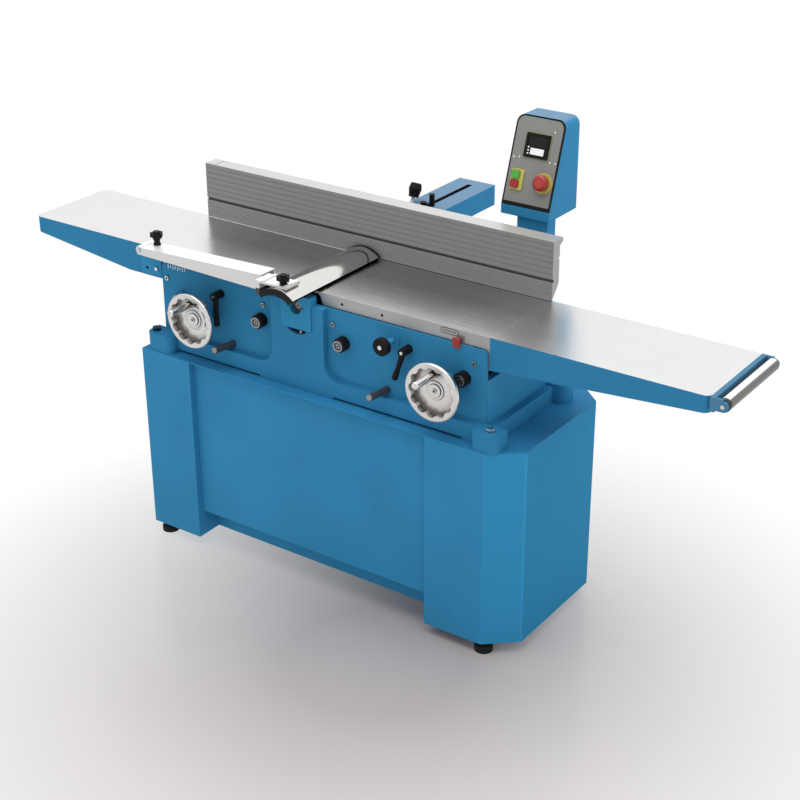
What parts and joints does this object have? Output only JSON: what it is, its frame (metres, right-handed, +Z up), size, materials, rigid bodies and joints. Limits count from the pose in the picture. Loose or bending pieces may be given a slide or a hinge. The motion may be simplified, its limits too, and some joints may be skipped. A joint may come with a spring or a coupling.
{
  "type": "surface planer",
  "caption": "Floor-standing surface planer: long tables either side of a cutterblock, tilting fence, bridge guard, handwheels and a control box on a sheet-metal cabinet.",
  "frame": {"origin": "on the floor under the middle of the machine's box", "axes": "+X along the tables from the outfeed to the infeed end, +Y from the operator to the fence, +Z up"},
  "size_m": [2.289, 0.9555, 1.3365],
  "materials": {
    "blue_paint": "satin paint over cast and sheet metal",
    "ground_iron": "ground table surface",
    "anodised": "satin anodised section",
    "polished": "polished",
    "steel": "machined",
    "dark_steel": "blackened",
    "black_plastic": "moulded",
    "rubber": "moulded",
    "control_grey": "fine grey coat",
    "red_plastic": "moulded",
    "green_plastic": "moulded"
  },
  "bodies": {
    "base": {"cabinet_left_column": "blue_paint", "cabinet_right_column": "blue_paint", "cabinet_front_panel": "blue_paint", "cabinet_rear_panel": "blue_paint", "cabinet_top_plate": "blue_paint", "motor_shelf": "steel", "levelling_feet": "rubber", "base_front_wall": "blue_paint", "base_rear_wall": "blue_paint", "base_crossmembers": "blue_paint", "base_fasteners": "steel", "bearing_housings": "blue_paint", "cutter_bearings": "steel", "lifting_bars": "dark_steel", "motor_body": "dark_steel", "drive_belt": "rubber", "belt_guard": "blue_paint", "chip_chute": "dark_steel", "fence_support": "blue_paint", "control_post": "blue_paint", "control_box": "blue_paint", "control_plate": "control_grey", "display_unit": "black_plastic", "depth_pointer": "red_plastic"},
    "outfeed": {"outfeed_table": "ground_iron", "outfeed_extension": "blue_paint", "outfeed_rack": "steel", "guard_bracket": "blue_paint"},
    "infeed": {"infeed_table": "ground_iron", "infeed_extension": "blue_paint", "infeed_rack": "steel", "roller_brackets": "blue_paint"},
    "outfeed_wheel": {"outfeed_handwheel": "polished", "outfeed_shaft": "steel"},
    "infeed_wheel": {"infeed_handwheel": "polished", "infeed_shaft": "steel"},
    "outfeed_grip": {"outfeed_grip": "polished"},
    "infeed_grip": {"infeed_grip": "polished"},
    "outfeed_lever": {"outfeed_clamp_lever": "black_plastic"},
    "infeed_lever": {"infeed_clamp_lever": "black_plastic"},
    "lock_knob": {"lock_knob": "black_plastic"},
    "cutter": {"cutterblock": "steel", "cutter_knives": "steel"},
    "rotor": {"motor_rotor": "steel"},
    "guard_arm": {"guard_arm": "anodised"},
    "guard_head": {"guard_head": "anodised"},
    "guard_blade": {"guard_blade": "polished", "guard_end_caps": "black_plastic"},
    "guard_height_knob": {"guard_height_knob": "black_plastic"},
    "guard_star_knob": {"guard_star_knob": "black_plastic"},
    "fence_carriage": {"fence_arm": "blue_paint"},
    "fence": {"fence_rail": "anodised", "fence_end_caps": "anodised", "fence_hinge": "steel"},
    "tilt_knob": {"tilt_knob": "black_plastic"},
    "fence_lever": {"fence_lever": "black_plastic"},
    "start_button": {"start_button": "green_plastic"},
    "stop_button": {"stop_button": "red_plastic"},
    "estop_button": {"estop_button": "red_plastic"},
    "end_roller": {"end_roller": "polished"}
  },
  "joints": [
    {"name": "outfeed_slide", "type": "slide", "parent": "base", "child": "outfeed", "axis": [-0.9781, 0, -0.2079], "range_m": [-0.002, 0.016]},
    {"name": "infeed_slide", "type": "slide", "parent": "base", "child": "infeed", "axis": [0.9781, 0, -0.2079], "range_m": [0, 0.0385]},
    {"name": "outfeed_wheel_turn", "type": "hinge", "parent": "base", "child": "outfeed_wheel", "pos_m": [-0.4515, -0.381, 0.766], "axis": [0, 1, 0], "range_deg": [-105, 15]},
    {"name": "infeed_wheel_turn", "type": "hinge", "parent": "base", "child": "infeed_wheel", "pos_m": [0.3725, -0.381, 0.766], "axis": [0, 1, 0], "range_deg": [-3, 250]},
    {"name": "outfeed_grip_spin", "type": "hinge", "parent": "outfeed_wheel", "child": "outfeed_grip", "pos_m": [-0.4485, -0.421, 0.817], "axis": [0, 1, 0], "continuous": true},
    {"name": "infeed_grip_spin", "type": "hinge", "parent": "infeed_wheel", "child": "infeed_grip", "pos_m": [0.3755, -0.421, 0.817], "axis": [0, 1, 0], "continuous": true},
    {"name": "outfeed_clamp", "type": "hinge", "parent": "base", "child": "outfeed_lever", "pos_m": [-0.4035, -0.331, 0.833], "axis": [0, -1, 0], "range_deg": [0, 70]},
    {"name": "infeed_clamp", "type": "hinge", "parent": "base", "child": "infeed_lever", "pos_m": [0.2435, -0.331, 0.826], "axis": [0, -1, 0], "range_deg": [0, 70]},
    {"name": "lock_knob_turn", "type": "hinge", "parent": "base", "child": "lock_knob", "pos_m": [0.1915, -0.341, 0.837], "axis": [0, 1, 0], "range_deg": [0, 180]},
    {"name": "cutter_spin", "type": "hinge", "parent": "base", "child": "cutter", "pos_m": [-0.1175, -0.151, 0.867], "axis": [0, 1, 0], "continuous": true},
    {"name": "motor_spin", "type": "hinge", "parent": "base", "child": "rotor", "pos_m": [0.1125, -0.071, 0.35], "axis": [0, 1, 0], "continuous": true},
    {"name": "guard_lift", "type": "hinge", "parent": "outfeed", "child": "guard_arm", "pos_m": [-0.6545, -0.341, 0.929], "axis": [0, -1, 0], "range_deg": [0, 9]},
    {"name": "guard_level", "type": "hinge", "parent": "guard_arm", "child": "guard_head", "pos_m": [-0.2155, -0.341, 0.93], "axis": [0, -1, 0], "range_deg": [-10, 1]},
    {"name": "guard_blade_slide", "type": "slide", "parent": "guard_head", "child": "guard_blade", "axis": [0, -1, 0], "range_m": [0, 0.22]},
    {"name": "guard_height_knob_turn", "type": "hinge", "parent": "guard_arm", "child": "guard_height_knob", "pos_m": [-0.6235, -0.325, 0.955], "axis": [0, 0, 1], "range_deg": [0, 180]},
    {"name": "guard_star_knob_turn", "type": "hinge", "parent": "guard_head", "child": "guard_star_knob", "pos_m": [-0.1115, -0.386, 0.965], "axis": [0, 0, 1], "range_deg": [0, 180]},
    {"name": "fence_slide", "type": "slide", "parent": "base", "child": "fence_carriage", "axis": [0, -1, 0], "range_m": [0, 0.22]},
    {"name": "fence_tilt", "type": "hinge", "parent": "fence_carriage", "child": "fence", "pos_m": [-0.0495, 0.013, 0.927], "axis": [-1, 0, 0], "range_deg": [0, 45]},
    {"name": "tilt_knob_turn", "type": "hinge", "parent": "fence_carriage", "child": "tilt_knob", "pos_m": [-0.0975, 0.199, 1.015], "axis": [0, 0.3907, 0.9205], "range_deg": [0, 180]},
    {"name": "fence_lever_turn", "type": "hinge", "parent": "base", "child": "fence_lever", "pos_m": [-0.0495, 0.187, 1.025], "axis": [0, 0, 1], "range_deg": [0, 60]},
    {"name": "start_push", "type": "slide", "parent": "base", "child": "start_button", "axis": [0, 0.9467, -0.3222], "range_m": [0, 0.004], "stiffness_N_per_m": 300, "springref_m": -0.001},
    {"name": "stop_push", "type": "slide", "parent": "base", "child": "stop_button", "axis": [0, 0.9467, -0.3222], "range_m": [0, 0.004], "stiffness_N_per_m": 300, "springref_m": -0.001},
    {"name": "estop_push", "type": "slide", "parent": "base", "child": "estop_button", "axis": [0, 0.9467, -0.3222], "range_m": [0, 0.005]},
    {"name": "end_roller_spin", "type": "hinge", "parent": "infeed", "child": "end_roller", "pos_m": [1.128, -0.151, 0.897], "axis": [0, 1, 0], "continuous": true}
  ],
  "couplings": [
    {"joint": "outfeed_wheel_turn", "follows": "outfeed_slide", "rad_per_m": -111.11},
    {"joint": "infeed_wheel_turn", "follows": "infeed_slide", "rad_per_m": 111.11},
    {"joint": "motor_spin", "follows": "cutter_spin", "ratio": 0.57377},
    {"joint": "guard_level", "follows": "guard_lift", "ratio": -1},
    {"joint": "guard_blade_slide", "follows": "fence_slide", "ratio": 1}
  ]
}
